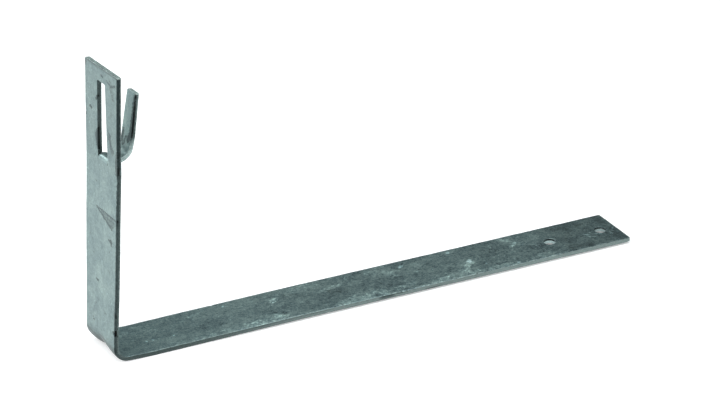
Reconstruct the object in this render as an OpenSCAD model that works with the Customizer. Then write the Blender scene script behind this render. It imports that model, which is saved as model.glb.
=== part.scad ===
// Roof bracket: one length of flat steel bar, bent once into an L. A long arm
// lies along the roof and takes two fixings near its end. A retaining tongue is
// pierced out of the upright and turned back over the arm as an open hook, and
// it leaves a tapered slot behind it.
//
// Frame: the origin is the fixing datum, on the underside of the arm midway
// between the two fixing holes. +X runs along the arm towards its free end, +Y
// across the bar and +Z up, so the upright stands at the -X end. Its front face
// looks to -X. Lengths are in millimetres.

/* [Bar] */
// Width of the flat bar
bar_width = 40; // [30:1:50]
// Thickness of the flat bar
bar_thick = 3; // [2.5:0.5:4]
// Height along the upright, from the underside of the arm to its top edge
upright_height = 193; // [190:1:260]
// Length from the front face of the upright to the end of the arm
arm_length = 375; // [250:5:450]
// Inside radius of the bend between upright and arm
bend_radius = 6; // [4:0.5:10]
// Angle by which the upright leans over the arm, in degrees
lean = 1.35; // [0:0.05:5]
// Radius of the four corners of the bar, seen square to its faces
corner_radius = 0.8; // [0.4:0.2:4]

/* [Slot] */
// Height along the upright at which the tongue starts to leave the bar
root_height = 130.5; // [100:0.5:131]
// Length of the pierced slot
slot_length = 52.5; // [50:0.5:56]
// Distance from mid-width to the straight side of the slot, on the +Y side
slot_straight = 4.6; // [3.5:0.1:6]
// Distance from mid-width to the sloping side of the slot, at its lower end
slot_slope_low = 7.6; // [6:0.1:9]
// Distance from mid-width to the sloping side of the slot, at its upper end
slot_slope_top = 4.7; // [4:0.1:6]
// Radius of the upper corners of the slot
slot_radius = 1; // [0.4:0.2:2]

/* [Hook] */
// Gap left by the piercing tool on each side of the tongue
tongue_gap = 0.2; // [0.1:0.05:0.4]
// Inside radius of the first bend, where the tongue leaves the bar
root_radius = 0.5; // [0.5:0.5:3]
// Angle of the first bend beyond square, in degrees
root_dip = 21; // [10:1:25]
// Straight length between the first bend and the U
root_run = 2; // [0.5:0.5:3]
// Inside radius of the U of the hook
hook_radius = 7; // [6.5:0.5:9]
// Angle by which the free leg of the hook flares outward, in degrees
flare = 9.5; // [0:0.1:12]
// Height along the upright of the tip of the tongue
tip_height = 173; // [155:0.5:176]

/* [Fixing holes] */
// Diameter of the two fixing holes
hole_d = 7.5; // [5:0.5:9]
// Distance between the two hole centres
hole_pitch = 38; // [25:1:60]
// Distance from the end of the arm to the centre of the outer hole
hole_end = 11; // [8:1:25]

/* [Hidden] */

$fn = 96;

// How far a cutting shape runs past the face that it cuts
over = 1;
// How far a rounding circle crosses the faces that it blends
proud = 0.002;

// The shapes are drawn from the outer corner of the bend, where the front face
// of the upright meets the underside of the arm. The datum lies this far along.
datum_x = arm_length - hole_end - hole_pitch / 2;

// Side views are drawn in the upright's own frame: x is the distance behind the
// front face and y the height along it. There the arm rises by the lean.
arm_dir = [cos(lean), sin(lean)];
// Where the mid-line of the upright meets the mid-line of the arm
bar_corner = bar_thick / 2 * [1, (1 + sin(lean)) / cos(lean)];

// Mid-line of the tongue. The first bend turns it from straight up to root_dip
// below level, and the U turns it up again, outward by flare.
dip_dir = [cos(root_dip), -sin(root_dip)];
leg_dir = [sin(flare), cos(flare)];
// Length of mid-line from each bend's tangent point to its corner
root_tangent = (root_radius + bar_thick / 2) * tan((90 + root_dip) / 2);
hook_tangent = (hook_radius + bar_thick / 2) * tan((90 + root_dip - flare) / 2);
root_corner = [bar_thick / 2, root_height + root_tangent];
hook_corner = root_corner + (root_tangent + root_run + hook_tangent) * dip_dir;
tip = hook_corner + (tip_height - hook_corner[1]) / leg_dir[1] * leg_dir;
// How far the tongue runs down into the bar below its root
root_lap = 2;

// The window that trims the tongue's sides: how far it reaches below the root,
// above the tip and back from the upright
window_below = 12;
window_above = 10;
window_depth = 60;

// Length of the block that squares off the arm's end
end_block = 50;

function unit(v) = v / norm(v);
function left(v) = [-v[1], v[0]];
// 1 where the line turns left from direction a to b, -1 where it turns right
function turn(a, b) = sign(a[0] * b[1] - a[1] * b[0]);
// Direction and length, per unit of offset, of the mitre between two normals
function mitre(a, b) = (a + b) / (1 + a * b);

// The band of a given thickness along a bent line, with round bends. points
// lists the line's points and radii the inside radius of each bend.
module band(points, radii, thick) {
    last = len(points) - 1;
    dirs = [for (i = [0 : last - 1]) unit(points[i + 1] - points[i])];
    normals = [for (d = dirs) left(d)];
    mitres = [for (i = [0 : last])
        i == 0 ? normals[0] :
        i == last ? normals[last - 1] :
        mitre(normals[i - 1], normals[i])];
    // each bend: centre, the directions from it to its two ends, inside radius
    bends = [for (i = [1 : last - 1])
        let (side = turn(dirs[i - 1], dirs[i]))
        [points[i] + side * (radii[i - 1] + thick / 2) * mitres[i],
         -side * normals[i - 1], -side * normals[i], radii[i - 1]]];
    difference() {
        union() {
            polygon(concat(
                [for (i = [0 : last]) points[i] + thick / 2 * mitres[i]],
                [for (i = [last : -1 : 0]) points[i] - thick / 2 * mitres[i]]));
            // fills the inside of each bend
            for (b = bends)
                bend_corner(b[0], b[1], b[2], b[3], thick / 2);
        }
        // rounds the outside of each bend
        for (b = bends)
            bend_corner(b[0], b[1], b[2], b[3] + thick, 2);
    }
}

// The mitred corner between two directions from a centre, less the circle
// there. It reaches the given distance beyond the radius.
module bend_corner(centre, start, end, radius, beyond) {
    reach = radius + beyond;
    difference() {
        polygon([centre, centre + reach * start,
                 centre + reach * mitre(start, end), centre + reach * end]);
        translate(centre) circle(r = radius + proud);
    }
}

// Lays a side view across the bar
module across() {
    rotate([90, 0, 0])
        linear_extrude(height = bar_width, center = true) children();
}

// Runs a front view (x across the bar, y up) back from before the front face
module front_to_back(depth) {
    translate([-over, 0, 0]) rotate([90, 0, 90])
        linear_extrude(height = depth) children();
}

// Repeats a shape on the +Y and -Y sides
module both_sides() {
    for (s = [0, 1]) mirror([0, s, 0]) children();
}

// What is cut away to round a square corner of the bar that points to +X and +Y
module corner_cut() {
    radius = corner_radius;
    height = bar_thick + 2 * over;
    difference() {
        translate([-radius, -radius, -height / 2])
            cube([radius + over, radius + over, height]);
        translate([-radius, -radius, -height / 2 - over])
            cylinder(r = radius + proud, h = height + 2 * over);
    }
}

// The bent bar, before it is pierced
module bar() {
    across()
        band([[bar_thick / 2, upright_height], bar_corner,
              bar_corner + arm_length / cos(lean) * arm_dir],
             [bend_radius], bar_thick);
}

// The tapered slot, with rounded upper corners
module slot() {
    top = root_height + slot_length;
    taper = slot_slope_low - slot_slope_top;
    // each corner circle touches the top and its side
    corner_y = top - slot_radius;
    slope_inset = slot_radius / slot_length * (norm([slot_length, taper]) - taper);
    front_to_back(bar_thick + 2 * over)
        difference() {
            polygon([[-slot_slope_low, root_height], [slot_straight, root_height],
                     [slot_straight, top], [-slot_slope_top, top]]);
            slot_corner(slot_straight - slot_radius, corner_y, 1);
            slot_corner(slope_inset - slot_slope_top, corner_y, -1);
        }
}

// What rounds one upper corner of the slot, on the +Y side if side is 1
module slot_corner(x, y, side) {
    far = slot_radius + over;
    translate([x, y]) difference() {
        polygon([[0, 0], [0, far], [side * far, far], [side * far, 0]]);
        circle(r = slot_radius + proud);
    }
}

// The tongue: the slot's widths less the gap, tapering from its root height to
// its tip
module tongue() {
    straight = slot_straight - tongue_gap;
    slope_low = slot_slope_low - tongue_gap;
    slope_top = slot_slope_top - tongue_gap;
    bottom = root_height - window_below;
    top = tip_height + window_above;
    intersection() {
        across()
            band([[bar_thick / 2, root_height - root_lap],
                  root_corner, hook_corner, tip],
                 [root_radius, hook_radius], bar_thick);
        front_to_back(window_depth)
            polygon([[-slope_low, bottom], [straight, bottom],
                     [straight, top], [-slope_top, top],
                     [-slope_top, tip_height], [-slope_low, root_height]]);
    }
}

// The bar with its slot and the rounded corners of the upright
module pierced_bar() {
    difference() {
        bar();
        slot();
        both_sides()
            translate([bar_thick / 2, bar_width / 2, upright_height])
                rotate([90, 0, 90]) corner_cut();
    }
}

// The whole bracket, which is one piece of steel
module bracket_strap() {
    color([0.47, 0.53, 0.52])
    translate([-datum_x, 0, 0]) difference() {
        rotate([0, lean, 0]) {
            pierced_bar();
            tongue();
        }
        // the arm's end, cut off square
        translate([arm_length, -bar_width, -bar_thick])
            cube([end_block, 2 * bar_width, 3 * bar_thick]);
        // corners of the arm's end
        both_sides()
            translate([arm_length, bar_width / 2, bar_thick / 2]) corner_cut();
        // fixing holes
        for (i = [0, 1])
            translate([arm_length - hole_end - i * hole_pitch, 0, -over])
                cylinder(d = hole_d, h = bar_thick + 2 * over);
    }
}

bracket_strap();
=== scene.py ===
# A hot-dip galvanised steel bracket, bent from one flat bar as wide as Y allows. The arm
# runs along +X on the floor, with two punched holes near its +X end. The upright stands
# at the -X end, and a tongue pierced from it is folded over the arm into a hook. The
# camera looks from -X and -Y, so the near side is -Y.
import functools
import math
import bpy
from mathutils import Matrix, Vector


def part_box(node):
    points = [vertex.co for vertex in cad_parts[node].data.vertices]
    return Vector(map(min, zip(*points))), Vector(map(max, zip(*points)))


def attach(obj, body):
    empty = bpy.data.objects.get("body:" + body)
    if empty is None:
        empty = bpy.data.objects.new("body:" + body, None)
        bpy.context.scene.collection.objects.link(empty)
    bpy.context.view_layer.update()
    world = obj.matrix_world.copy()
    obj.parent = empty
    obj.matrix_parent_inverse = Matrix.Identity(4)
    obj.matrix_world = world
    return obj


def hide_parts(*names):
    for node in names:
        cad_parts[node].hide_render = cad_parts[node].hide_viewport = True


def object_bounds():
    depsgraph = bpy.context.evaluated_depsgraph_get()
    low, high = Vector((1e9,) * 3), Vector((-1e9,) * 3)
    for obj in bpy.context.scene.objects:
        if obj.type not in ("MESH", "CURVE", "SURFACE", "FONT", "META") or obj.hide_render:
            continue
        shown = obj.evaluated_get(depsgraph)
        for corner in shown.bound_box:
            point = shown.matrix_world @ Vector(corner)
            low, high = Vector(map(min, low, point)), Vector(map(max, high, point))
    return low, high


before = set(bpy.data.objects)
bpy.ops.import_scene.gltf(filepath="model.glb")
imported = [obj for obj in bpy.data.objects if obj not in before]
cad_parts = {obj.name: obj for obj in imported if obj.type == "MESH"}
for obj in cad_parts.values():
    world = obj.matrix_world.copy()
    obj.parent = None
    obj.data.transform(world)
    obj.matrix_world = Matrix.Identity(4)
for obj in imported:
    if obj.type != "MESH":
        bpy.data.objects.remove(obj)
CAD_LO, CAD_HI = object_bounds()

from types import SimpleNamespace

import bpy
import numpy as np
from mathutils import Matrix, Vector

# ----------------------------------------------------------------------------
# The bar is shaped flat and then bent. In the flat pattern, all in millimetres:
#   along  runs along the bar: -X on the arm, 0 at the outer corner of the bend, and
#          the height along the upright
#   y      runs across the bar, as in the CAD frame
#   depth  is measured from the outer face: 0 on the underside of the arm and on the
#          -X side of the upright, and the bar's thickness on the inner face
# The solid is the zero level of a distance function there (negative in the steel),
# meshed as quads. Every corner of that mesh is carried round the bend and the hook.
# ----------------------------------------------------------------------------
box_lo, box_hi = (np.array(v) * 1000.0 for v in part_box("bracket_strap"))
LEAN = math.radians(1.35)          # the upright leans over the arm
TWIST = math.radians(3.74)         # and is twisted, by this much at its top
THICK = 3.0
HALF = (box_hi[1] - box_lo[1]) / 2  # half the width
UP = box_hi[2] / math.cos(LEAN)    # length of the upright
CORNER_X = box_hi[0] - 375.0       # X of the outer corner of the bend
ARM = box_hi[0] - CORNER_X         # length of the arm from that corner

HOLE_PITCH, HOLE_END, HOLE_R = 38.4, 11.0, 3.75
HOLE_Y = -0.7                      # the holes lie slightly off the middle
HOLES = [-(ARM - HOLE_END), -(ARM - HOLE_END - HOLE_PITCH)]
# Raised lip round each hole: least height, extra height, the cosine where the extra
# starts, and the direction of its crest in degrees from +X toward +Y
HOLE_LIPS = [(0.09, 0.15, 0.0, 60), (0.04, 0.22, 0.55, 28)]

ROOT, SLOT_L = 130.6, 52.4         # where the slot starts, and its length
SLOT_STRAIGHT = 4.6                # y of its straight side
SLOT_LOW, SLOT_TOP = 7.6, 4.7      # -y of its sloping side at the root and at the top
SLOPE_COS = 1 / math.hypot(1, (SLOT_LOW - SLOT_TOP) / SLOT_L)
KERF = 0.3                         # gap between slot and tongue while flat
ROOT_R, HOOK_R = 0.4, 6.84         # inside radii of the tongue's two folds
ROOT_DIP = math.radians(21.3)      # how far the tongue dips after the first
FLARE = math.radians(9.5)          # how far its free leg leans from the upright
TIP = 172.9                        # height of its tip


# ------------------------------------------------------------------ noise ----
@functools.lru_cache(None)
def lattice(seed):
    return np.random.RandomState(seed).rand(256, 256)


def noise(u, v, size, seed):
    """Smooth noise from -1 to 1 with features of the given size."""
    grid = lattice(seed)
    u, v = np.asarray(u) / size + 1000.5, np.asarray(v) / size + 1000.5
    iu, iv = np.floor(u).astype(int), np.floor(v).astype(int)
    fu, fv = u - iu, v - iv
    fu = fu * fu * fu * (fu * (fu * 6 - 15) + 10)
    fv = fv * fv * fv * (fv * (fv * 6 - 15) + 10)
    a, b = grid[iu % 256, iv % 256], grid[(iu + 1) % 256, iv % 256]
    c, d = grid[iu % 256, (iv + 1) % 256], grid[(iu + 1) % 256, (iv + 1) % 256]
    return 2 * ((a * (1 - fu) + b * fu) * (1 - fv) + (c * (1 - fu) + d * fu) * fv) - 1


def layered_noise(u, v, size, seed, octaves):
    """Noise with each octave half the size and half the strength of the last."""
    out, strength, total = 0.0, 1.0, 0.0
    for i in range(octaves):
        out = out + strength * noise(u, v, size / 2**i, seed + i)
        total += strength
        strength *= 0.5
    return out / total


def smooth(start, end, x):
    """0 at start, 1 at end, with an eased step between. start may be the larger."""
    t = np.clip((np.asarray(x, float) - start) / (end - start), 0, 1)
    return t * t * (3 - 2 * t)


def bump(x, centre, width):
    return np.exp(-(((x - centre) / width) ** 2))


def rows_near(along, centre, reach):
    """The rows of a grid that lie within reach of a place along the bar."""
    near = np.flatnonzero(np.abs(along[:, 0] - centre) < reach)
    return slice(near[0], near[-1] + 1) if len(near) else slice(0)


# ------------------------------------------------------------ flat pattern ----
def meet(a, b, radius):
    """Where two faces meet, with the edge between them rounded."""
    return (np.minimum(-radius, np.maximum(a, b))
            + np.hypot(np.maximum(radius + a, 0), np.maximum(radius + b, 0)))


def slope_side(along):
    """The y of the sloping side of the slot."""
    return -(SLOT_LOW + (SLOT_TOP - SLOT_LOW) * np.clip((along - ROOT) / SLOT_L, -0.2, 1.1))


def slot_distance(along, y):
    side = np.maximum(y - SLOT_STRAIGHT, (slope_side(along) - y) * SLOPE_COS)
    return meet(side, along - (ROOT + SLOT_L), 1.0)


# Dents in the long edges: along, y, depth, radius
DENTS = [
    (20.2, -HALF, 0, 1.05), (12.5, -HALF, 0, 0.7), (118, -HALF, 0, 0.75),
    (112.5, -HALF, 0, 0.6), (124, -HALF, 0.1, 0.55), (106, -HALF, 0, 0.7),
    (71, -HALF, 0, 0.5), (-206, -HALF, 2.6, 0.8), (-209, -HALF, 2.4, 0.6),
    (-214.5, -HALF, 2.7, 0.5), (-88, HALF, 3, 0.5), (157, HALF, 0, 0.5),
    (-290, HALF, 0, 0.6), (48, HALF, 3, 0.6), (-151, -HALF, 0, 0.5), (166, HALF, 3, 0.5)]

# Zinc pimples on the outer (0) and the inner (1) face: along, y, height, radius
rng = np.random.RandomState(41)
PIMPLES = {}
for face, count in ((0, 120), (1, 150)):
    PIMPLES[face] = np.stack([
        rng.uniform(-ARM + 3, UP - 3, count), rng.uniform(-HALF + 1, HALF - 1, count),
        rng.choice([1, 1, -0.8], count) * rng.uniform(0.04, 0.13, count),
        rng.uniform(0.5, 1.1, count)], 1)


def face_height(along, y, face):
    """How far the zinc of a face stands proud of the plain bar."""
    seed = 100 + 40 * face
    height = (0.05 * layered_noise(along, y, 26, seed, octaves=2)
              + 0.03 * layered_noise(along, y * 1.3, 6, seed + 7, octaves=3))
    # long drain runs left as the zinc ran off along the bar
    height = height + (0.02 * noise(along, y, 60, seed + 13)
                       * noise(along / 8, y, 2.2, seed + 17))
    for at, at_y, top, radius in PIMPLES[face]:
        s = rows_near(along, at, 3 * radius)
        height[s] += top * np.exp(-((along[s] - at) ** 2 + (y[s] - at_y) ** 2) / radius**2)
    return height


def faces_and_holes(along, y, depth, slot):
    """Distances to the two faces and to the walls of the holes."""
    inner = face_height(along, y, 1)
    outer = face_height(along, y, 0)
    holes = []
    # a sunk ring round each hole with a raised lip beyond it, and a ridge below
    for hole_at, (least, extra, start, crest) in zip(HOLES, HOLE_LIPS):
        radius = np.hypot(along - hole_at, y - HOLE_Y)
        angle = np.arctan2(y - HOLE_Y, -(along - hole_at))
        lip = least + extra * smooth(start, 1.0, np.cos(angle - math.radians(crest)))
        inner = inner - 0.10 * bump(radius, 4.25, 0.55) + lip * bump(radius, 5.0, 0.42)
        outer = outer + 0.12 * bump(radius, 3.9, 0.35)
        holes.append(HOLE_R - radius)
    # beside the slot the outer face sinks a little and the inner one swells
    beside = smooth(1.6, 0.0, np.abs(slot)) * smooth(ROOT - 2, ROOT + 3, along) * (slot > -0.05)
    outer = outer - 0.10 * beside
    inner = inner + 0.05 * beside
    faces = np.maximum(depth - THICK - 0.08 - inner[:, :, None],
                       -depth - 0.05 - outer[:, :, None])
    return faces, np.maximum(*holes)[:, :, None]


def bar_outline(along, y, depth):
    """Distance to the long edges and the ends, with their texture."""
    along3, y3 = along[:, :, None], y[:, :, None]
    edge_noise = 0.045 * noise(along, y * 0.2, 7, 301) + 0.03 * noise(along, y * 0.2, 2.2, 302)
    long_edge = (np.abs(y) - HALF + edge_noise)[:, :, None]
    belly = np.abs(2 * depth / THICK - 1) ** 2.0
    rough = 0.035 * (noise(along3, depth * 3 + 20 * np.sign(y3), 1.6, 303))
    long_edge = long_edge - 0.20 + 0.12 * belly + rough
    end = np.maximum(along - UP, -ARM - 0.6 - along)[:, :, None]
    # the shear rolls one edge over and tears the rest of the cut
    tear = smooth(1.0, 2.4, depth)
    end = end + 0.10 * tear + 0.05 * tear * noise(y3 * 1.6, depth * 2, 1.1, 304)
    return meet(long_edge, end, 1.0)


def rim_radius(along, y, depth):
    """Radius of the rounding between the faces and the outline."""
    along3 = along[:, :, None]
    near_side = smooth(-10, -18, y[:, :, None])
    lower = depth < THICK / 2
    radius = np.where(lower, 0.34, 0.32) + 0.10 * noise(along, y * 0.3, 12, 305)[:, :, None]
    # on the near side, the arm's upper rim is rounder away from the bend
    radius = radius + 0.45 * smooth(-60, -130, along3) * (depth > THICK / 2) * near_side
    radius = radius + 0.04 * smooth(2, 20, along3) * lower * near_side
    near_end = smooth(-ARM + 2.2, -ARM + 0.6, along3)
    radius = radius * (1 - near_end) + near_end * np.where(lower, 1.15, 0.3)
    near_top = smooth(UP - 2.2, UP - 0.6, along3)
    return radius * (1 - near_top) + near_top * np.where(lower, 0.34, 0.25)


def slot_cut(along, y, depth, slot, faces):
    """The gap pierced round the tongue, with torn walls and rounded rims."""
    along3, y3 = along[:, :, None], y[:, :, None]
    lower = depth < THICK / 2
    gap = KERF * (0.35 + 0.65 * smooth(ROOT, ROOT + 5, along))
    foot = ROOT - 1.1 * smooth(-6, 5, y) + 0.7 * smooth(-6.0, -7.4, y)
    kerf = np.maximum(np.maximum(slot, -(slot + gap)), foot - along)[:, :, None]
    tongue_side = (slot < -KERF / 2)[:, :, None]
    tear = np.where(tongue_side, smooth(1.9, 0.8, depth), smooth(1.1, 2.2, depth))
    wall = 0.07 * tear * (
        1 + 0.9 * noise(along3 * 1.3, depth * 2 + 30 * np.sign(y3), 1.2, 307))
    wall = wall * smooth(ROOT, ROOT + 5, along3)
    radius = np.where(tongue_side, np.where(lower, 0.14, 0.40), np.where(lower, 0.36, 0.14))
    # worn places on the rim of the slot, on its +Y side
    worn = (1.7 * bump(along, 142.5, 5.0) + 1.5 * bump(along, 169.5, 2.0)
            + 0.4 * noise(along, y * 0.1, 4, 308))
    worn = worn * (y > 0)
    radius = radius + np.where(tongue_side | ~lower, 0, 0.5) * worn[:, :, None]
    return meet(-kerf + wall, faces, radius)


def solid(along, y, depth):
    """The distance function, where along and y are (i, j) grids and depth is (k)."""
    along3, y3, depth = along[:, :, None], y[:, :, None], depth[None, None, :]
    slot = slot_distance(along, y)
    faces, hole = faces_and_holes(along, y, depth, slot)
    dist = meet(bar_outline(along, y, depth), faces, rim_radius(along, y, depth))

    # punched holes: rolled in at the inner face, torn at the outer one
    tear = smooth(1.9, 0.6, depth)
    hole = hole + 0.16 * tear
    hole = hole + 0.04 * tear * noise(along3 * 2 + y3 * 3, depth * 2, 1.3, 306)
    dist = np.maximum(dist, meet(hole, faces, np.where(depth > THICK / 2, 0.5, 0.2)))

    dist = np.maximum(dist, slot_cut(along, y, depth, slot, faces))
    for at, at_y, at_depth, radius in DENTS:
        s = rows_near(along, at, 3 * radius)
        away = np.sqrt(((along3[s] - at) / 1.25) ** 2 + (y3[s] - at_y) ** 2
                       + (depth - at_depth) ** 2)
        dist[s] = np.maximum(dist[s], radius - away)
    return dist


# ---------------------------------------------------------------- meshing ----
def stops(start, *parts):
    """Positions from start through each (end, step), each step fitted evenly."""
    out = [start]
    for end, step in parts:
        k = max(1, int(round((end - out[-1]) / step)))
        out += list(out[-1] + (end - out[-1]) * np.arange(1, k + 1) / k)
    return np.array(out)


def fill(a, b, count):
    """Even positions strictly between a and b."""
    return list(a + (b - a) * np.arange(1, count + 1) / (count + 1))


def sample_grid():
    """Grid positions, close together at every edge, hole and slot wall."""
    hole0, hole1 = HOLES
    rows_at = stops(
        -ARM - 1.3, (-ARM - 0.9, 0.2), (-ARM + 0.8, 0.16), (-ARM + 3, 0.45),
        (hole0 - 5.6, 0.6), (hole0 + 5.6, 0.33), (hole1 - 5.6, 0.95), (hole1 + 5.6, 0.33),
        (-24, 1.18), (24, 0.78), (ROOT - 2, 1.15), (ROOT + 2.4, 0.3),
        (ROOT + SLOT_L - 2.4, 0.8), (ROOT + SLOT_L + 1.0, 0.19), (UP - 2, 0.8),
        (UP - 1.2, 0.3), (UP + 0.3, 0.16), (UP + 0.7, 0.2))
    rim = np.array([0.62, 0.34, 0.12, -0.10, -0.36, -0.8])       # outward from HALF
    near, far = -HALF - rim, (HALF + rim)[::-1]
    inside = HALF - 0.8
    kerf = np.array([-0.95, -0.5, -0.3, -0.14, 0.0, 0.14, 0.3, 0.5, 0.95])
    mid = KERF / 2
    plain = fill(-inside, inside, 46)
    holes = fill(-inside, -5.4, 8) + list(np.linspace(-5.4, 5.4, 30)) + fill(5.4, inside, 8)
    rows = []
    for at in rows_at:
        a, b = slope_side(at) + mid / SLOPE_COS, SLOT_STRAIGHT - mid
        slot = (fill(-inside, a - 0.95, 8) + list(a + kerf) + fill(a + 0.95, b - 0.95, 9)
                + list(b + kerf) + fill(b + 0.95, inside, 11))
        by_slot = smooth(ROOT - 16, ROOT - 5, at) * smooth(ROOT + SLOT_L + 8, ROOT + SLOT_L + 2, at)
        by_hole = smooth(hole1 + 16, hole1 + 6, at)
        middle = ((1 - by_slot) * (1 - by_hole) * np.array(plain)
                  + by_slot * np.array(slot) + by_hole * np.array(holes))
        rows.append(np.concatenate([near, middle, far]))
    y = np.array(rows)
    depth = np.array([-0.75, -0.4, -0.16, 0.0, 0.14, 0.34, 0.62, 1.1, 1.65, 2.1, 2.42, 2.68,
                      2.88, 3.02, 3.2, 3.45, 3.8])
    return np.repeat(rows_at[:, None], y.shape[1], 1), y, depth


CELL_CORNERS = ((0, 0), (1, 1), (1, 0), (0, 1))      # one diagonal, then the other


def untangle(dist):
    """Shifts dist by a hair wherever its zero level would touch itself along an edge."""
    for _ in range(8):
        inside, tangled = dist < 0, []
        for a, b in ((0, 1), (1, 2), (0, 2)):
            sign = []
            for i, j in CELL_CORNERS:
                s = [slice(None)] * 3
                s[a] = slice(i, dist.shape[a] - 1 + i)
                s[b] = slice(j, dist.shape[b] - 1 + j)
                sign.append(inside[tuple(s)])
            crossed = (sign[0] == sign[1]) & (sign[2] == sign[3]) & (sign[0] != sign[2])
            for cell in np.argwhere(crossed):
                corners = []
                for i, j in CELL_CORNERS:
                    corner = cell.copy()
                    corner[a] += i
                    corner[b] += j
                    corners.append(tuple(corner))
                tangled.append(min(corners, key=lambda c: abs(dist[c])))
        if not tangled:
            break
        for corner in set(tangled):
            dist[corner] = 1e-4 if dist[corner] < 0 else -1e-4
    return dist


def surface(dist, points):
    """Quads of the zero level of dist on a grid of points, with one corner in each
    crossed cell."""
    inside = dist < 0
    cells = tuple(k - 1 for k in dist.shape)
    total, count = np.zeros(cells + (3,)), np.zeros(cells)
    cuts = []
    for axis in range(3):
        s0, s1 = [slice(None)] * 3, [slice(None)] * 3
        s0[axis], s1[axis] = slice(0, -1), slice(1, None)
        s0, s1 = tuple(s0), tuple(s1)
        cut = inside[s0] != inside[s1]
        d0, d1 = dist[s0][cut], dist[s1][cut]
        t = (d0 / (d0 - d1))[:, None]
        crossing = points[s0][cut] * (1 - t) + points[s1][cut] * t
        at = np.argwhere(cut)
        cuts.append((at, inside[s0][cut]))
        a, b = [k for k in range(3) if k != axis]
        for da in (-1, 0):
            for db in (-1, 0):
                c = at.copy()
                c[:, a] += da
                c[:, b] += db
                ok = np.all((c >= 0) & (c < cells), axis=1)
                np.add.at(total, tuple(c[ok].T), crossing[ok])
                np.add.at(count, tuple(c[ok].T), 1)
    used = count > 0
    index = np.full(count.shape, -1, int)
    index[used] = np.arange(used.sum())
    corners = total[used] / count[used][:, None]
    quads = []
    for (at, first_in), (a, b) in zip(cuts, ((1, 2), (2, 0), (0, 1))):
        ring = []
        for da, db in ((-1, -1), (0, -1), (0, 0), (-1, 0)):
            c = at.copy()
            c[:, a] += da
            c[:, b] += db
            ring.append(index[tuple(c.T)])
        ring = np.stack(ring, 1)
        ring[~first_in] = ring[~first_in][:, ::-1]
        quads.append(ring)
    return corners, np.concatenate(quads)


# ---------------------------------------------------------------- bending ----
# Outside radius of the main bend across the width: tighter toward the two edges
BEND_Y = [-20, -14, -8, -3, 2, 7, 12, 20]
BEND_R = [9.7, 10.0, 11.4, 13.4, 14.2, 11.7, 10.3, 10.3]
BEND_REACH = 16.0                  # the bend lies this far each side of the corner

# Each table holds places, then values. How far the upright is bowed inward, and how
# its twist strays from even, both by height:
BOW = ([0, 15, 30, 45, 60, 75, 90, 105, 115, 128, 138, 150, 165, 180, 193],
       [-.2, -.3, -.1, .08, .12, .2, .22, .36, .5, .6, .45, .2, .05, -.05, -.12])
STRAY = ([0, 30, 45, 60, 75, 90, 110, 130, 150, 193],
         [0, -.004, .004, .009, .0105, .0075, .0055, .006, .001, 0])
# How far the arm lies above flat, and how far its near edge drops, by distance in X
# from the corner:
SAG = ([0, 10, 28, 46, 65, 83, 100, 117, 135, 400],
       [-.15, -.35, -.62, -.5, -.4, -.27, -.19, -.1, 0, 0])
EDGE_DROP = ([0, 7, 25, 50, 75, 100, 135, 400],
             [0, .15, .4, .32, .28, .2, 0, 0])


def soft_line(at, places, values, fine, reach, taps):
    """A line through values at places, blurred on the fine stations, read off at `at`."""
    kernel = np.exp(-(np.linspace(-reach, reach, taps) ** 2) / 2)
    line = np.pad(np.interp(fine, places, values), taps // 2, mode="edge")
    return np.interp(at, fine, np.convolve(line, kernel / kernel.sum(), mode="valid"))


def on_upright(depth, height, y):
    """From the upright's own frame to that of the outer corner, with lean and twist."""
    depth = depth + np.interp(height, *BOW)
    turn = TWIST * height / UP * smooth(2, 18, height) + np.interp(height, *STRAY)
    up = np.array([math.sin(LEAN), 0, math.cos(LEAN)])
    inward = np.array([math.cos(LEAN), 0, -math.sin(LEAN)])
    across = np.array([0, 1.0, 0])
    cos, sin = np.cos(turn)[:, None], np.sin(turn)[:, None]
    return (height[:, None] * up + depth[:, None] * (cos * inward + sin * across)
            + y[:, None] * (cos * across - sin * inward))


def tongue_line():
    """The tongue's mid-line in the upright's (depth, height): lengths, points and
    directions."""
    root_mid, hook_mid = ROOT_R + THICK / 2, HOOK_R + THICK / 2
    # the fold at the root, and a short straight run
    centre = np.array([THICK / 2 + root_mid, ROOT])
    a = np.linspace(0, math.pi / 2 + ROOT_DIP, 60)
    p0 = centre + root_mid * np.stack([-np.cos(a), np.sin(a)], 1)
    d0 = np.stack([np.sin(a), np.cos(a)], 1)
    run = np.linspace(0, 2.0, 12)[1:, None]
    p0 = np.concatenate([p0, p0[-1] + run * d0[-1]])
    d0 = np.concatenate([d0, np.repeat(d0[-1:], 11, 0)])
    # the hook
    centre = p0[-1] + hook_mid * np.array([math.sin(ROOT_DIP), math.cos(ROOT_DIP)])
    b = np.linspace(-ROOT_DIP, math.pi / 2 - FLARE, 110)[1:]
    d1 = np.stack([np.cos(b), np.sin(b)], 1)
    p1 = centre + hook_mid * np.stack([np.sin(b), -np.cos(b)], 1)
    # the free leg, bowed very slightly
    length = (TIP - p1[-1, 1]) / math.cos(FLARE)
    u = np.linspace(0, 1, 60)[1:]
    bow = FLARE - 0.017 * np.sin(math.pi * (u - 0.25)) * np.sin(math.pi * u)
    step = np.stack([np.sin(bow), np.cos(bow)], 1) * length / 59
    p2 = p1[-1] + np.cumsum(step, 0)
    d2 = step / np.linalg.norm(step, axis=1)[:, None]
    points, directions = np.concatenate([p0, p1, p2]), np.concatenate([d0, d1, d2])
    lengths = np.concatenate([[0], np.cumsum(np.linalg.norm(np.diff(points, axis=0), axis=1))])
    return lengths, points, directions


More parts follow.
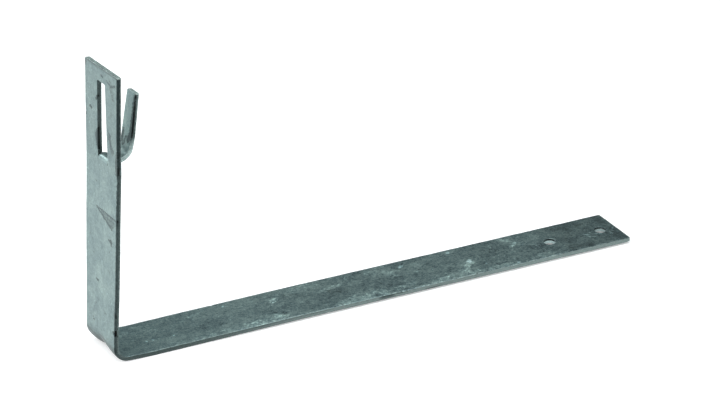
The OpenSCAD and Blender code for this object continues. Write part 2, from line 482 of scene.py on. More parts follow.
def bend_corner(along, y, depth):
    """Carries points round the main bend."""
    radius = soft_line(y, BEND_Y, BEND_R, fine=np.linspace(-21, 21, 421), reach=3, taps=41)
    centre_x = radius * (1 + math.sin(LEAN)) / math.cos(LEAN)
    straight, arc = BEND_REACH - centre_x, radius * (math.pi / 2 + LEAN)
    run = (along + BEND_REACH) / (2 * BEND_REACH) * (2 * straight + arc)
    phi = 1.5 * math.pi - np.clip((run - straight) / radius, 0, math.pi / 2 + LEAN)
    face_x, face_z = centre_x + radius * np.cos(phi), radius + radius * np.sin(phi)
    before = np.minimum(run - straight, 0)
    after = np.maximum(run - straight - arc, 0)
    x = face_x - before + after * math.sin(LEAN) + depth * -np.cos(phi)
    z = face_z + after * math.cos(LEAN) + depth * -np.sin(phi)
    return on_upright(x * math.cos(LEAN) - z * math.sin(LEAN),
                      x * math.sin(LEAN) + z * math.cos(LEAN), y)


def bend_tongue(along, y, depth):
    """Carries points round the hook."""
    lengths, points, directions = tongue_line()
    whole = lengths[-1]
    at = np.clip((along - ROOT) / (SLOT_L - KERF), 0, 1.02) * whole
    mid_depth, mid_height = (np.interp(at, lengths, points[:, k]) for k in (0, 1))
    dir_depth, dir_height = (np.interp(at, lengths, directions[:, k]) for k in (0, 1))
    norm = np.hypot(dir_depth, dir_height)
    dir_depth, dir_height = dir_depth / norm, dir_height / norm
    over = np.maximum(at - whole, 0)
    off = THICK / 2 - depth
    # the two sides wander a little as the tongue goes round
    fine = np.linspace(-0.2, 1.2, 281)
    u, low, high = at / whole, slope_side(along) + KERF, SLOT_STRAIGHT - KERF
    t = (y - low) / (high - low)
    y = (y + (1 - t) * soft_line(u, [0, 0.1, 0.25, 0.5, 1], [0, 0, 0.2, -1.4, -0.45],
                                 fine, reach=2.5, taps=31)
         + t * soft_line(u, [0, 0.1, 0.5, 1], [0, 0, 0.7, 0.7], fine, reach=2.5, taps=31))
    return on_upright(mid_depth + over * dir_depth - dir_height * off,
                      mid_height + over * dir_height + dir_depth * off, y)


def bend(points, tongue):
    """Carries flat points to their place, in the frame of the outer corner."""
    along, y, depth = points.T.copy()
    out = np.empty_like(points)
    # metal squeezed out at the edges on the inside of the bend, and drawn in outside
    squeeze = bump(along, 0, 9.0) * smooth(HALF - 7, HALF, np.abs(y))
    y = y + np.sign(y) * squeeze * (0.55 * smooth(1.0, 3.0, depth) - 0.30 * smooth(2.0, 0.0, depth))

    arm = (along < -BEND_REACH) & ~tongue
    out[arm] = np.stack([-along[arm], y[arm], depth[arm]], 1)
    corner = (np.abs(along) <= BEND_REACH) & ~tongue
    out[corner] = bend_corner(along[corner], y[corner], depth[corner])
    upright = (along > BEND_REACH) & ~tongue
    out[upright] = on_upright(depth[upright], along[upright], y[upright])
    out[tongue] = bend_tongue(along[tongue], y[tongue], depth[tongue])
    return out


grid_along, grid_y, grid_depth = sample_grid()
dist = untangle(solid(grid_along, grid_y, grid_depth))
grid_points = np.stack(np.broadcast_arrays(
    grid_along[:, :, None], grid_y[:, :, None], grid_depth[None, None, :]), -1)
flat, quads = surface(dist, grid_points)
quads = quads[:, ::-1]             # bending turns the flat pattern over
flat_along, flat_y, flat_depth = flat.T
slot_away = slot_distance(flat_along, flat_y)
is_tongue = (slot_away < -KERF / 2) & (flat_along > ROOT)

placed = bend(flat, is_tongue)
placed[:, 0] += CORNER_X
placed[:, 2] += np.interp(placed[:, 0] - CORNER_X, *SAG) * smooth(30, 4, placed[:, 2])
placed[:, 2] -= (np.interp(placed[:, 0] - CORNER_X, *EDGE_DROP) * smooth(30, 4, placed[:, 2])
                 * (HALF - placed[:, 1]) / (2 * HALF))
placed *= 0.001

# How much each corner lies on an edge rather than on a face (wall), and whether that
# edge is a cut one rather than a long one (cut)
face_away = np.minimum(np.abs(flat_depth), np.abs(THICK - flat_depth))
hole_away = np.min([np.abs(np.hypot(flat_along - h, flat_y - HOLE_Y) - HOLE_R) for h in HOLES], 0)
kerf_away = np.where(flat_along > ROOT - 0.5,
                     np.minimum(np.abs(slot_away), np.abs(slot_away + KERF)), 9)
end_away = np.minimum(np.abs(flat_along - UP), np.abs(flat_along + ARM + 0.6))
long_away = np.abs(np.abs(flat_y) - HALF - 0.15)
cut_away = np.minimum(np.minimum(hole_away, kerf_away), end_away)
wall = smooth(0.0, 1.0, face_away / (face_away + np.minimum(cut_away, long_away) + 1e-3))
cut = wall * (cut_away < long_away)

# Pale and dark marks as strokes that widen from one end to the other: face (0 outer,
# 1 inner), start along and y, end along and y, both half widths, strength
FROST = [
    (1, -124, 4, -126.5, 7.5, 2.4, 3.4, 0.8), (1, -52, 5, -79.6, 15.6, 0.6, 2, 0.55),
    (1, -80, -17, -120, -15, 4, 6, 0.52), (1, -160, -18, -192, -15, 4, 6, 0.6),
    (1, -198, 14, -213, 6, 4.5, 5, 0.5), (1, -263, -4, -254, -14, 3.4, 5.6, 0.62),
    (1, -301, 5.5, -305, 9, 2.4, 1.6, 0.9), (1, -297, 18, -304, 11, 2, 2.4, 0.55),
    (1, -304, 11, -314, 0, 2.4, 3, 0.42), (1, -156, 4, -173, 7.5, 1.8, 2.4, 0.55),
    (1, -128, 12, -158, 16, 6, 6, 0.42), (1, -181, 11, -181.6, 17, 1.2, 1.6, 0.66),
    (1, -232, -17, -244, -15.5, 3.4, 3.6, 0.55), (1, -344, -8, -354, -2, 4.4, 4.4, 0.42),
    (1, -295, -3.7, -297, -3, 2.6, 2.6, 0.4), (1, -204, -15, -216, -12.5, 3.2, 3.6, 0.55),
    (1, -310, -16, -324, -17.5, 4, 4, 0.4), (1, -16, 10, -34, 13, 5, 5, 0.34),
    (1, -40, -17, -70, -18, 3, 3.4, 0.36), (1, -247, -17, -290, -18, 2.4, 2.6, 0.40),
    (0, 22, -4, 62, 6, 9, 9, 0.3), (0, 150, 12, 170, 14, 6, 6, 0.3),
    (0, 64, 14, 74, 12, 4, 4, 0.3), (0, 100, 10, 118, 14, 6, 6, 0.25)]
STAIN = [
    (1, -137, 8, -143, 5, 6, 5, 0.35), (1, -165, 1, -173, -3, 5, 4.5, 0.45),
    (1, -276, 8, -291, 4, 6.5, 7, 0.35), (1, -334, -14, -347, -16.5, 4.5, 5, 0.5),
    (1, -336, 14, -353, 12, 5, 6, 0.5), (1, -118, -9, -124, -14, 2.4, 2.4, 0.45),
    (1, -370, -18, -371, 18, 3.5, 4.5, 0.5), (1, -186, 12, -192, 16, 4, 4.5, 0.35),
    (1, -233, 2, -246, 8, 6, 6, 0.3), (1, -312, -9, -320, -12, 5, 4, 0.3),
    (1, -357, 3, -361, 14, 4, 5, 0.35), (1, -337, -4, -343, 6, 4, 4, 0.35),
    (0, 95.5, -2, 93.2, -16, 1.2, 3.4, 0.5), (0, 151, -10.5, 141, -13.5, 2, 2.6, 0.7),
    (0, 78, 13.5, 75, 14.5, 1, 1.4, 0.55), (0, 187, -11, 178, -15, 3, 3.6, 0.6),
    (0, 170, -13, 150, -15, 3.5, 3.5, 0.4), (0, 12, -12, 16, -17, 2.5, 2.5, 0.4),
    (0, 192, 18, 190, -16, 1, 1.2, 0.45)]

# Finer strokes, drawn in the material, with the same columns but no face. The first
# table holds dark marks on the outer face of the upright, and in its last two rows painted
# shade on the bend; LEG_MARKS holds dark ones on the tongue, and FLECKS pale ones on top of the
# arm.
MARKS_AND_BEND_SHADE = [
    (97.6, 6, 97, -20, 0.5, 0.8, 0.72), (97, 5, 89.5, -14, 0.6, 1.1, 0.75),
    (96, 0, 93.5, -15, 1, 3.2, 0.52), (80.7, -10.4, 80.2, -13.2, 0.6, 1.5, 1),
    (78.8, -12.4, 78, -14.4, 0.6, 0.8, 0.6), (47.7, 5.6, 47.5, 3.4, 0.8, 0.7, 0.9),
    (162.5, 14.3, 162.1, 12, 0.7, 1, 0.9), (155.6, 18.9, 155.6, 20, 0.8, 0.8, 1),
    (190.6, 19, 188.4, 19.8, 1, 0.8, 1), (187.8, -0.6, 187.4, -2.4, 0.7, 0.6, 0.8),
    (186.7, -7.5, 184.6, -12, 0.6, 0.9, 0.6), (184.6, -12, 186.6, -17.5, 0.9, 0.9, 0.65),
    (150.8, 4.6, 145, 6.1, 0.6, 1.6, 0.95), (145, 6.1, 137, 5, 1.6, 0.8, 0.95),
    (172.2, 5, 170, 6.2, 0.6, 1, 0.9), (152.4, -10.4, 151.4, -12.2, 0.9, 0.7, 0.7),
    (148.6, -9.5, 147.4, -11.6, 0.7, 0.9, 0.6), (145, -13, 142, -15.5, 0.8, 1, 0.6),
    (114.8, 7.1, 114.5, 6.2, 0.5, 0.5, 0.7), (28.9, -5.4, 28.6, -8, 0.35, 0.5, 0.65),
    (18.6, 9.6, 18.3, 8.2, 0.55, 0.45, 0.75), (60.2, -9.6, 58.4, -12.2, 0.4, 0.6, 0.5),
    (20.5, -18, 20.2, -20.6, 1, 1.9, 1.3), (35, -18.7, 31.5, -19.8, 0.8, 1, 0.7),
    (136.5, -18.7, 128.5, -19.2, 1.1, 1.3, 1), (143.5, -19.5, 137.5, -18.9, 0.6, 1, 1),
    # these last two rows are painted shade along the bend, where its outer face turns from the
    # light
    (9, 2, 7, -18.5, 1, 2.2, 0.5), (8, 19, 5, 3, 1.5, 2.5, 0.5)]
LEG_MARKS = [
    (181, -3.9, 169, -4.5, 0.5, 1.1, 1), (169, -4.5, 159, -5, 1.1, 1.4, 1),
    (159, -4.8, 153.5, -3.6, 1.4, 1.6, 0.9), (159, 2.2, 152, 3.2, 0.7, 1.7, 0.8),
    (155, -1, 150, 1, 0.9, 1.3, 0.7)]
FLECKS = [
    (-220, 11, -222, 12.8, 1, 1.2, 0.9), (-265.3, -0.6, -264.4, -2, 1.3, 1.5, 1),
    (-292, -18.6, -292.6, -18, 0.8, 0.8, 1), (-272.8, -10, -273.2, -9.4, 0.8, 0.7, 0.9),
    (-93, 14.4, -93.3, 15, 0.7, 0.7, 1), (-29, -6.2, -29.2, -6, 0.6, 0.55, 1),
    (-33.7, -6.4, -34, -6, 0.6, 0.55, 1), (-47.9, -6.8, -48, -6.6, 0.55, 0.55, 0.9),
    (-258, 15.4, -259, 16.5, 1.1, 0.9, 0.95), (-358.6, -4, -362, -6.2, 0.7, 0.7, 0.7),
    (-350.5, -1.6, -353, -3.4, 0.5, 0.8, 0.8), (-356, -8, -352, -7, 0.6, 0.5, 0.6),
    (-367.5, -8.2, -368.2, -8.6, 0.8, 0.6, 1), (-373, -1, -370.5, -5.5, 0.4, 0.7, 0.6)]


def corner_strokes(rows, wobble):
    """How strongly each mesh corner lies in any of the strokes."""
    out = np.zeros(len(flat))
    side = flat_depth > THICK / 2
    for face, start, start_y, end, end_y, r0, r1, strength in rows:
        near = (side == bool(face)) & (
            np.abs(flat_along - (start + end) / 2) < abs(end - start) / 2 + 16)
        x, y = flat_along[near], flat_y[near]
        dx, dy = end - start, end_y - start_y
        t = np.clip(((x - start) * dx + (y - start_y) * dy) / (dx * dx + dy * dy + 1e-9), 0, 1)
        radius = r0 + (r1 - r0) * t
        away = np.hypot(x - start - t * dx, y - start_y - t * dy)
        away = away * (1 + wobble * noise(x, y, np.mean([r0, r1]) * 1.3 + 0.6, 601))
        out[near] = np.maximum(out[near], strength * smooth(1.35, 0.35, away / radius))
    return out


def bracket_mesh():
    mesh = bpy.data.meshes.new("galvanised_bracket")
    mesh.vertices.add(len(placed))
    mesh.vertices.foreach_set("co", placed.astype(np.float32).ravel())
    mesh.loops.add(len(quads) * 4)
    mesh.loops.foreach_set("vertex_index", quads.astype(np.int32).ravel())
    mesh.polygons.add(len(quads))
    mesh.polygons.foreach_set("loop_start", np.arange(0, len(quads) * 4, 4, dtype=np.int32))
    mesh.polygons.foreach_set("use_smooth", np.ones(len(quads), dtype=bool))
    mesh.update(calc_edges=True)
    mesh.validate()
    layer = mesh.attributes.new("flat", "FLOAT_VECTOR", "POINT")
    layer.data.foreach_set("vector", flat.astype(np.float32).ravel())
    for name, values in (("wall", wall), ("cut", cut),
                         ("frost", corner_strokes(FROST, wobble=0.35)),
                         ("stain", corner_strokes(STAIN, wobble=0.25)),
                         ("tongue", is_tongue)):
        layer = mesh.attributes.new(name, "FLOAT", "POINT")
        layer.data.foreach_set("value", values.astype(np.float32))
    return mesh


bracket = bpy.data.objects.new("galvanised_bracket", bracket_mesh())
bpy.context.collection.objects.link(bracket)


# ----------------------------------------------------------- shader nodes ----
def put(tree, socket, value):
    """Links a Value to an input, or sets the input to a plain value."""
    if isinstance(value, Value):
        tree.links.new(value.node.outputs[value.out], socket)
    else:
        socket.default_value = value


def add(tree, kind, inputs=None, out=0, **settings):
    """Adds a node and returns one of its outputs."""
    node = tree.nodes.new(kind)
    for name, value in settings.items():
        setattr(node, name, value)
    for key, value in (inputs or {}).items():
        put(tree, node.inputs[key], value)
    return Value(tree, node, out)


def dim(colour, factor):
    """The colour scaled by a factor, which must be a Value."""
    return add(factor.tree, "ShaderNodeVectorMath", {0: colour, "Scale": factor},
               operation="SCALE")


class Value:
    """One output of a node. Arithmetic and methods on it add further nodes."""

    def __init__(self, tree, node, out):
        self.tree, self.node, self.out = tree, node, out

    def math(self, operation, *values, clamp=False):
        return add(self.tree, "ShaderNodeMath", dict(enumerate(values)),
                   operation=operation, use_clamp=clamp)

    def __add__(self, other):
        return self.math("ADD", self, other)

    def __radd__(self, other):
        return self.math("ADD", other, self)

    def __sub__(self, other):
        return self.math("SUBTRACT", self, other)

    def __rsub__(self, other):
        return self.math("SUBTRACT", other, self)

    def __mul__(self, other):
        return self.math("MULTIPLY", self, other)

    def __truediv__(self, other):
        return self.math("DIVIDE", self, other)

    def at_least(self, other):
        return self.math("MAXIMUM", self, other)

    def swing(self, size):
        """A noise about 0.5, recentred on 0 and scaled."""
        return (self - 0.5) * size

    def ramp(self, start_end, to=(0.0, 1.0), kind="SMOOTHSTEP"):
        """Eases from to[0] at the start to to[1] at the end."""
        return add(self.tree, "ShaderNodeMapRange",
                   {"Value": self, "From Min": start_end[0], "From Max": start_end[1],
                    "To Min": to[0], "To Max": to[1]}, interpolation_type=kind)

    def blend(self, at_0, at_1, kind="SMOOTHSTEP"):
        return self.ramp((0, 1), (at_0, at_1), kind)

    def mix(self, a, b):
        """Mixes two colours, held as vectors so that no conversion is needed."""
        return add(self.tree, "ShaderNodeMix", {0: self, 4: a, 5: b}, out=1, data_type="VECTOR")

    def vector(self, operation, other=None, out=0):
        inputs = {0: self} if other is None else {0: self, 1: other}
        return add(self.tree, "ShaderNodeVectorMath", inputs, out, operation=operation)

    def stretch(self, scale, offset=(0, 0, 0)):
        return add(self.tree, "ShaderNodeMapping",
                   {"Vector": self, "Scale": scale, "Location": offset})

    def noise(self, scale, detail, rough, distort=0.0):
        return add(self.tree, "ShaderNodeTexNoise",
                   {"Vector": self, "Scale": scale, "Detail": detail, "Roughness": rough,
                    "Distortion": distort}, out="Fac")

    def voronoi(self, scale, out):
        return add(self.tree, "ShaderNodeTexVoronoi", {"Vector": self, "Scale": scale},
                   out, feature="F1")

    def strokes(self, rows):
        """How strongly this point of the flat pattern lies in any of the strokes."""
        total = 0.0
        for start, start_y, end, end_y, r0, r1, strength in rows:
            dx, dy = end - start, end_y - start_y
            square = dx * dx + dy * dy
            off = self.vector("SUBTRACT", (start, start_y, 0))
            t = off.vector("DOT_PRODUCT", (dx / square, dy / square, 0), out="Value")
            t = t.math("MINIMUM", t.at_least(0.0), 1.0)
            away = off.vector("SUBTRACT", dim((dx, dy, 0), t)).vector("LENGTH", out="Value")
            radius = t.math("MULTIPLY_ADD", t, r1 - r0, r0)
            hit = (away / radius).ramp((1.4, 0.75), to=(0.0, strength))
            total = hit.at_least(total)
        return total


# --------------------------------------------------------------- material ----
# Places along the bar, across it and in depth are in the millimetres of the flat
# pattern. blend() on `inner` gives its first value on the outer face.
def bar_values(tree):
    """The mesh attributes and the noises that several parts of the material share."""
    bar = SimpleNamespace()
    for name in ("wall", "cut", "tongue", "frost", "stain"):
        setattr(bar, name, add(tree, "ShaderNodeAttribute", out="Fac", attribute_name=name))
    bar.flat = add(tree, "ShaderNodeAttribute", out="Vector", attribute_name="flat")
    split = add(tree, "ShaderNodeSeparateXYZ", {0: bar.flat}).node
    bar.along, bar.y, bar.depth = (Value(tree, split, k) for k in range(3))
    bar.inner = bar.depth.ramp((1.2, 1.8))
    # the pattern is shifted on the inner face, so that the two faces differ
    shift = add(tree, "ShaderNodeCombineXYZ", {2: bar.inner * 300.0})
    bar.at = bar.flat.vector("ADD", shift)
    bar.mottle = bar.at.stretch((0.75, 1, 1), (31, 7, 0)).noise(
        scale=0.20, detail=4, rough=0.62, distort=1.2)
    bar.grain = bar.at.noise(scale=0.62, detail=3, rough=0.62)
    bar.speck = bar.at.noise(scale=1.35, detail=2, rough=0.55)
    bar.streak = bar.at.stretch((0.55, 0.55, 1.3)).noise(scale=1, detail=4, rough=0.65)
    # the clouding is stronger on the arm, away from the bend
    strength = bar.along.ramp((-60, -230)) * 0.28 + 1.0
    bar.strength = strength * bar.inner.blend(0.95, 1.0)
    return bar


def clouded_zinc(bar):
    """The plain colour of the faces: broad clouds, mottle, spangle and fine speckle, with painted
    shade where the outer face goes round the bend.
    """
    along, inner = bar.along, bar.inner
    clouds = bar.at.stretch((0.6, 1, 1)).noise(scale=0.055, detail=3, rough=0.55, distort=0.6)
    spangle = add(inner.tree, "ShaderNodeSeparateColor", {0: bar.at.voronoi(0.42, "Color")})
    tone = clouds.swing(0.8) + bar.mottle.swing(1.3)
    tone += spangle.swing(0.10)
    tone *= inner.blend(0.85, 1.0)
    fine = bar.grain.swing(1.35) + bar.speck.swing(1.3)
    tone += fine * inner.blend(0.5, 1.0)
    tone *= bar.strength
    zinc = tone.ramp((-0.35, 0.35)).mix((0.200, 0.282, 0.293), (0.222, 0.290, 0.278))
    base = dim(zinc, (1.0 + tone).at_least(0.3))
    # the outer face is duller toward the top of the upright, and darkest at the bend, where the
    # darkening is painted shade on the curve turning away from the light
    outside = along.ramp((108, 150), to=(0.885, 0.79)) * along.ramp((15, 5), to=(1, 0.66))
    outside *= along.ramp((7.5, 1.5), to=(1, 0.42)) * along.ramp((-4, -16), to=(1, 1.8))
    outside *= 1.0 + bar.tongue * 0.24
    # the top of the arm is brightest near the bend and dullest round the holes
    topside = along.ramp((-90, -160), to=(1.24, 1.12)) * along.ramp((-255, -275), to=(1, 0.93))
    topside *= along.ramp((-318, -336), to=(1, 0.78))
    return dim(base, inner.blend(outside, topside))


def add_frost(bar, base):
    """Pale blooms and chalky flecks. Returns the colour and the bloom."""
    near_edge = bar.y.ramp((-9, -19)) * bar.along.ramp((-60, -110))
    lift = near_edge * bar.inner * 0.05
    patch = bar.at.stretch((0.85, 1, 1), (5, 91, 0)).noise(
        scale=0.21, detail=6, rough=0.70, distort=1.6)
    field = patch + lift + bar.frost * 0.33
    bloom = field.ramp((0.55, 0.88)) * (0.85 + (bar.grain.swing(1.6) + bar.speck.swing(1.2)))
    bloom *= bar.inner.blend(0.5, 1.0)
    chalk = (bar.frost * 0.9 + bar.grain.swing(0.9)).ramp((0.60, 0.95))
    fleck = bar.at.noise(scale=0.5, detail=1, rough=0.5).ramp((0.68, 0.76))
    chalk = chalk.at_least(fleck * (bar.strength * 0.6))
    base = dim(base, 1.0 + (bloom * 0.56 + chalk * 0.80))
    warm = base.vector("MULTIPLY", (1.02, 1.03, 0.96))
    return (bloom * 0.5).mix(base, warm), bloom


def add_marks(bar, base):
    """Flecks, stains, strokes (some of them painted shade on the bend) and pits. Returns the
    colour, the strokes and the pits.
    """
    along, y, inner, grain = bar.along, bar.y, bar.inner, bar.grain
    # the strokes get wavering outlines
    shake = add(inner.tree, "ShaderNodeCombineXYZ", {
        k: bar.at.stretch((1, 1, 1), offset).noise(scale=0.75, detail=3, rough=0.5).swing(2.6)
        for k, offset in enumerate(((0, 0, 0), (50, 20, 0)))})
    spot = bar.flat.vector("ADD", shake).vector("MULTIPLY", (1, 1, 0))
    flecks = spot.strokes(FLECKS) * inner
    base = dim(base, 1.0 + flecks * 1.3)
    marks_and_shade = spot.strokes(MARKS_AND_BEND_SHADE) * (1.0 - bar.tongue)
    marks_and_shade = marks_and_shade.at_least(spot.strokes(LEG_MARKS) * bar.tongue)
    marks_and_shade *= bar.depth.ramp((1.9, 1.1))
    pit_away = bar.at.stretch((1, 1, 0.2), (3, 3, 0)).voronoi(0.085, "Distance")
    pit = pit_away.ramp((0.075, 0.035)) * 0.6
    worn = bar.at.stretch((1, 1, 1), (61, 19, 0)).noise(
        scale=0.30, detail=6, rough=0.70, distort=1.2)
    haze = (worn + bar.stain * 0.34).ramp((0.58, 0.84)) * inner.blend(0.6, 1.0)
    base = dim(base, 1.0 - haze * 0.50)
    dark = (bar.stain + grain.swing(1.3)).ramp((0.46, 0.92))
    dark = dark.at_least((marks_and_shade + grain.swing(1.2)).ramp((0.22, 0.85)))
    # a ragged dark outer rim on the near side, most ragged about the slot's foot
    rub = bar.at.stretch((0.42, 0.42, 0.1), (7, 0, 0)).noise(scale=1, detail=3, rough=0.7)
    worst = along.ramp((96, 112)) * along.ramp((152, 136))
    reach = y + rub.swing(6.5) * worst.blend(0.30, 1.0)
    ragged_dark_rim = reach.ramp((-19.1, -19.7)) * along.ramp((-6, 0)) * (1.0 - inner)
    dark = dark.at_least(ragged_dark_rim)
    base = (dark * 0.75).at_least(pit).mix(base, (0.03, 0.042, 0.044))
    return base, marks_and_shade, pit


def edge_colour(bar, marks_and_shade, hole_cut):
    """Sheared and pierced edges, dark toward the outer face and pale toward the inner one; the
    dark is painted shade on the upright and near the bend, and away from it the arm's edge is
    painted lighter."""
    along, y, depth, tongue = bar.along, bar.y, bar.depth, bar.tongue
    ragged = bar.at.stretch((0.35, 0.35, 0.1), (0, 0, 9)).noise(scale=1, detail=2, rough=0.6)
    blotch = bar.at.stretch((0.30, 0.30, 0.35), (0, 40, 9)).noise(scale=1, detail=4, rough=0.65)
    level = depth + (ragged.swing(2.6) + bar.streak.swing(2.2))
    at_slot = bar.cut * along.ramp((126, 130))
    # on the upright the dark band of painted shade widens above the slot's foot, and takes in
    # the whole of the slot's +Y wall
    high = along.ramp((122, 136))
    shifted = level - high * 0.45
    shifted += tongue * (0.45 + blotch.swing(7.0))
    shifted -= at_slot * y.ramp((1, 4)) * (1.0 - tongue) * 1.6
    up_dark = shifted.ramp((2.45, 1.35)) * high.blend(0.72, 0.97)
    up_dark *= 1.0 - at_slot * 0.26
    up_dark *= 1.0 - tongue * along.ramp((158, 146), to=(0, 0.85))
    # on the arm the painted shade fades out away from the bend, but for a few dark places
    on_arm = along.ramp((8, -10))
    far_arm = (along + ragged.swing(40.0)).ramp((-20, -165))
    arm_dark = level.ramp((2.7, 1.9)) * far_arm.blend(0.42, 0.0, "LINEAR")
    relapse = bar.at.stretch((0.05, 0.2, 0.25), (17, 0, 0)).noise(scale=1, detail=2, rough=0.5)
    arm_dark = arm_dark.at_least(relapse.ramp((0.62, 0.70)) * 0.55)
    patch = along.ramp((-186, -191)) * along.ramp((-202, -197))
    arm_dark = arm_dark.at_least(patch * level.ramp((0.4, 1.8), to=(0.2, 0.7)))
    # the ends of the bar and of the tongue stay light
    ends = along.ramp((191.6, 192.8)).at_least(bar.cut * along.ramp((-370, -374)))
    ends = ends.at_least(tongue * along.ramp((181.6, 182.3)))
    dark = on_arm.mix(up_dark, arm_dark) * (1.0 - ends * 0.95)
    # in the punched holes only the upper part is dark, painted shade under the rolled-in rim
    hole_dark = (depth + ragged.swing(0.9)).ramp((2.0, 2.35), to=(0, 0.97))
    dark = hole_cut.mix(dark, hole_dark)

    # painted light: the arm's edge is paler away from the bend and toward the holes, and its upper
    # part darker near the bend
    pale = far_arm.mix((0.078, 0.103, 0.100), (0.142, 0.182, 0.176))
    pale = (at_slot * 0.6).mix(pale, (0.150, 0.190, 0.184))
    pale = ends.mix(pale, (0.52, 0.63, 0.60))
    in_hole = dim((0.38, 0.48, 0.48), along.ramp((-340, -350), to=(1, 0.72)))
    pale = hole_cut.mix(pale, in_hole)
    curl = tongue * along.ramp((158, 148))
    pale = curl.mix(pale, (0.26, 0.33, 0.32))
    pale = dim(pale, 1.0 + bar.streak.swing(1.5))
    pale = dim(pale, along.ramp((-255, -275), to=(1, 1.14)))
    upper = depth.ramp((1.2, 2.2)) * (on_arm * along.ramp((-145, -160), to=(0.28, 0.10)))
    pale = dim(pale, 1.08 - upper)

    tone = dark.mix(pale, (0.016, 0.026, 0.027))
    # the edges of the upright are blotched
    blotch = bar.at.stretch((0.5, 0.5, 0.8), (0, 7, 3)).noise(scale=1, detail=4, rough=0.65)
    blotch = along.ramp((-20, 10)) * blotch.swing(2.6)
    tone = dim(tone, (1.0 + blotch).at_least(0.25))
    return dim(tone, 1.0 - marks_and_shade * 0.88)


def add_edges(bar, base, marks_and_shade):
    """Lays the edge colour over the face colour, and shades the rims."""
    along, depth, wall = bar.along, bar.depth, bar.wall
    hole_cut = bar.cut * along.ramp((-300, -310))
    edge = edge_colour(bar, marks_and_shade, hole_cut)
    # at the outer rim the edge colour starts right on the round, at the inner one it
    # stops short
    back = depth.ramp((1.2, 1.8)) * (1.0 - hole_cut)
    span = (back.blend(0.03, 0.50, "LINEAR"), back.blend(0.28, 0.92, "LINEAR"))
    base = wall.ramp(span).mix(base, edge)
    # the far lip of each hole is in shade, toward +Y and a little toward +X
    for hole_at, strength in zip(HOLES, (0.6, 0.9)):
        off = bar.flat.vector("SUBTRACT", (hole_at, HOLE_Y, 0)).vector("MULTIPLY", (1, 1, 0))
        away = off.vector("LENGTH", out="Value")
        facing = off.vector("DOT_PRODUCT", (-0.45, 0.89, 0), out="Value") / away
        shade = away.ramp((4.45, 4.05)) * facing.ramp((0.35, 0.8))
        shade *= depth.ramp((1.95, 2.25))
        base = dim(base, 1.0 - shade * strength)
    # painted shade and highlight on the inner rims: darker near the bend and near the holes, and
    # brighter between
    rim = wall.ramp((0.08, 0.3)) * wall.ramp((0.75, 0.45)) * depth.ramp((1.5, 2.6))
    lift = (along.ramp((-55, -120), to=(-0.34, 0.06))
            + along.ramp((-250, -275), to=(0, -0.26)))
    base = dim(base, 1.0 + rim * lift)
    # the outer rim at the very top of the upright is painted darker too, shade that tones down its
    # highlight
    brow = along.ramp((191.2, 192.4)) * depth.ramp((1.0, 0.5))
    return dim(base, 1.0 - brow * 0.42)


def zinc_material():
    material = bpy.data.materials.new("hot_dip_zinc")
    material.use_nodes = True
    tree = material.node_tree
    tree.nodes.clear()
    bar = bar_values(tree)
    base, bloom = add_frost(bar, clouded_zinc(bar))
    base, marks_and_shade, pit = add_marks(bar, base)
    base = add_edges(bar, base, marks_and_shade)

    rough = 0.44 + bar.mottle.swing(0.22)
    rough = rough.math("ADD", rough, bloom * 0.22, clamp=True)
    height = bar.mottle * 0.35 + bar.grain * 0.25
    height += bar.speck * 0.10
    height += bar.streak * (bar.wall * 0.35)
    height -= pit * 0.8
    normal = add(tree, "ShaderNodeBump",
                 {"Height": height, "Strength": 0.55, "Distance": 0.00025})
    surface_shader = add(tree, "ShaderNodeBsdfPrincipled", {
        "Base Color": base, "Metallic": 0.92, "Roughness": rough, "Normal": normal})
    add(tree, "ShaderNodeOutputMaterial", {"Surface": surface_shader})
    return material


bracket.data.materials.append(zinc_material())
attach(bracket, "root")
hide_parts("bracket_strap")

# ------------------------------------------------------------------ studio ----
# From here on, lengths are in metres.
FLOOR_HALF = 9.0
FLOOR_GAP = 0.0001                 # between the floor and the bracket
centre = (Vector(CAD_LO) + Vector(CAD_HI)) / 2
scene = bpy.context.scene


def floor_material():
    """A pale floor that glows a little more away from the bracket."""
    material = bpy.data.materials.new("pale_floor")
    material.use_nodes = True
    tree = material.node_tree
    away = add(tree, "ShaderNodeTexCoord", out="Object").vector("LENGTH", out="Value")
    inputs = tree.nodes["Principled BSDF"].inputs
    for name, value in {
            "Base Color": (0.86, 0.865, 0.865, 1), "Roughness": 0.9,
            "Specular IOR Level": 0.1, "Emission Color": (1, 1, 1, 1),
            "Emission Strength": away.ramp((1.8, 4.5), to=(0.32, 0.50))}.items():
        put(tree, inputs[name], value)
    return material


def build_floor():
    mesh = bpy.data.meshes.new("studio_floor")
    corners = [(i * FLOOR_HALF, j * FLOOR_HALF, 0) for i, j in ((-1, -1), (1, -1), (1, 1), (-1, 1))]
    mesh.from_pydata(corners, [], [(0, 1, 2, 3)])
    floor = bpy.data.objects.new("studio_floor", mesh)
    floor.location = (centre.x, centre.y, placed[:, 2].min() - FLOOR_GAP)
    bpy.context.collection.objects.link(floor)
    mesh.materials.append(floor_material())


def build_world():
    """A room that is dark toward +X and +Y, behind the bracket, and light elsewhere.
    The camera itself sees plain white."""
    world = bpy.data.worlds.new("studio")
    scene.world = world
    world.use_nodes = True
    tree = world.node_tree
    tree.nodes.clear()
    coords = add(tree, "ShaderNodeTexCoord", out="Generated")
    facing = coords.vector("DOT_PRODUCT", (0.72, 0.60, 0.34), out="Value")
    room = facing.ramp((-0.10, 0.72), to=(0.92, 0.25))
    tint = facing.ramp((-0.10, 0.72)).mix((0.97, 0.99, 1.0), (0.82, 1.0, 1.03))
    dome = add(tree, "ShaderNodeBackground", {"Color": tint, "Strength": room})
    plain = add(tree, "ShaderNodeBackground", {"Color": (1, 1, 1, 1), "Strength": 1.0})
    seen = add(tree, "ShaderNodeLightPath", out="Is Camera Ray")
    shader = add(tree, "ShaderNodeMixShader", {0: seen, 1: dome, 2: plain})
    add(tree, "ShaderNodeOutputWorld", {"Surface": shader})


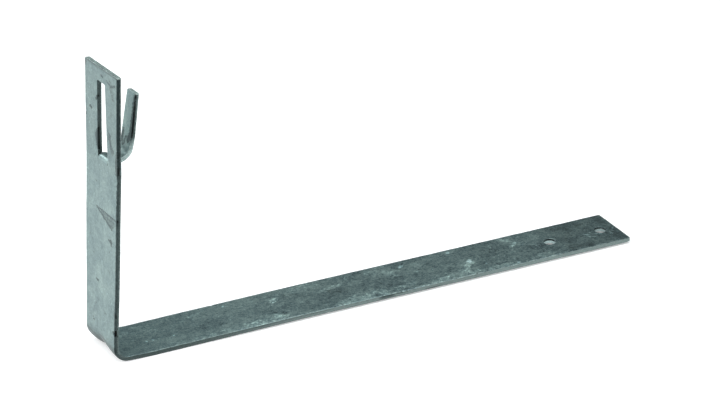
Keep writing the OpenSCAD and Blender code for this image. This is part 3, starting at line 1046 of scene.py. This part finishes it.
def softbox(name, offset, size, power, aim=(0, 0, 0)):
    """A rectangular light. Its place and its aim are from the bracket's centre."""
    light = bpy.data.lights.new(name, "AREA")
    light.shape = "RECTANGLE"
    light.size, light.size_y = size
    light.energy = power
    at = centre + Vector(offset)
    lamp = bpy.data.objects.new(name, light)
    lamp.location = at
    lamp.rotation_mode = "QUATERNION"
    lamp.rotation_quaternion = (centre + Vector(aim) - at).to_track_quat("-Z", "Y")
    bpy.context.collection.objects.link(lamp)


# The camera's direction, and the place of the bend's outer corner in its view
AZIMUTH, ELEVATION = math.radians(-28.2446), math.radians(25.0052)
CAMERA_ROLL = math.radians(0.0364)
CORNER_AHEAD = 3.203404
CORNER_RIGHT, CORNER_UP = -0.162886653, -0.092427273
LENS, SENSOR = 254.897, 36         # millimetres


def build_camera():
    forward = -Vector((math.sin(AZIMUTH) * math.cos(ELEVATION),
                       -math.cos(AZIMUTH) * math.cos(ELEVATION), math.sin(ELEVATION)))
    level_right = forward.cross(Vector((0, 0, 1))).normalized()
    level_up = level_right.cross(forward)
    right = math.cos(CAMERA_ROLL) * level_right + math.sin(CAMERA_ROLL) * level_up
    up = -math.sin(CAMERA_ROLL) * level_right + math.cos(CAMERA_ROLL) * level_up
    lens = bpy.data.cameras.new("camera")
    lens.lens, lens.sensor_width, lens.sensor_fit = LENS, SENSOR, "HORIZONTAL"
    lens.clip_start, lens.clip_end = 0.1, 100
    camera = bpy.data.objects.new("camera", lens)
    pose = Matrix((right, up, -forward)).transposed().to_4x4()
    pose.translation = (-(CORNER_RIGHT * right + CORNER_UP * up + CORNER_AHEAD * forward)
                        + Vector((CORNER_X * 0.001, 0, 0)))
    camera.matrix_world = pose
    bpy.context.collection.objects.link(camera)
    scene.camera = camera


build_floor()
build_world()
softbox("key_left", (-1.9, -0.5, 0.85), size=(1.6, 1.2), power=27)
softbox("top_soft", (0.0, -0.2, 2.4), size=(2.2, 2.2), power=25)
softbox("back_left", (-1.35, 1.9, 1.25), size=(0.8, 0.8), power=17, aim=(-0.15, 0, 0.05))
softbox("fill_right", (1.3, -1.9, 0.7), size=(0.9, 0.7), power=7, aim=(0.1, 0, 0))
build_camera()

scene.view_settings.view_transform = "Standard"
scene.view_settings.look = "None"
scene.view_settings.exposure = 0.0
scene.view_settings.gamma = 1.0
